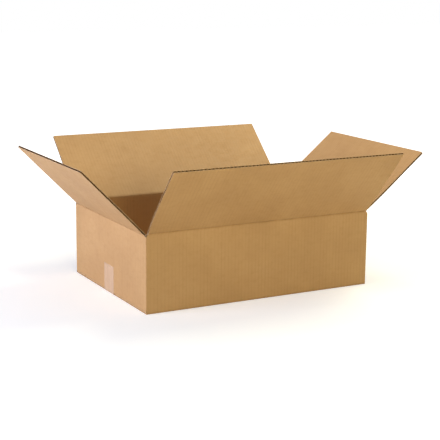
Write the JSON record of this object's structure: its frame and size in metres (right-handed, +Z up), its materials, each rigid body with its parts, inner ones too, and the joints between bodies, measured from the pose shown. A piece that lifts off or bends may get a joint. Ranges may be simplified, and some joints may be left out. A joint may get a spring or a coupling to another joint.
{
  "type": "open corrugated cardboard box",
  "caption": "Low open shipping box of single-wall corrugated board, its folded bottom closed with clear tape and its hinged top flaps standing open and leaning outwards.",
  "frame": {"origin": "centre of the underside, on the lowest face of the bottom tape", "axes": "+X along the long panels to the right, +Y from front to back, +Z up"},
  "size_m": [0.7897, 0.615, 0.3003],
  "materials": {
    "kraft_board": "matte brown kraft liner with faint lines over the flutes",
    "clear_tape": "thin satin film"
  },
  "bodies": {
    "carton": {"carton_body": "kraft_board", "bottom_tape": "clear_tape"},
    "front_flap": {"front_flap": "kraft_board"},
    "back_flap": {"back_flap": "kraft_board"},
    "left_flap": {"left_flap": "kraft_board"},
    "right_flap": {"right_flap": "kraft_board"}
  },
  "joints": [
    {"name": "front_crease", "type": "hinge", "parent": "carton", "child": "front_flap", "pos_m": [0, -0.182, 0.1601], "axis": [1, 0, 0], "range_deg": [-130.5, 104.5]},
    {"name": "back_crease", "type": "hinge", "parent": "carton", "child": "back_flap", "pos_m": [0, 0.182, 0.1601], "axis": [-1, 0, 0], "range_deg": [-137.5, 97.5]},
    {"name": "left_crease", "type": "hinge", "parent": "carton", "child": "left_flap", "pos_m": [-0.258, 0, 0.1559], "axis": [0, -1, 0], "range_deg": [-134.5, 100.5]},
    {"name": "right_crease", "type": "hinge", "parent": "carton", "child": "right_flap", "pos_m": [0.258, 0, 0.1559], "axis": [0, 1, 0], "range_deg": [-141, 94]}
  ]
}
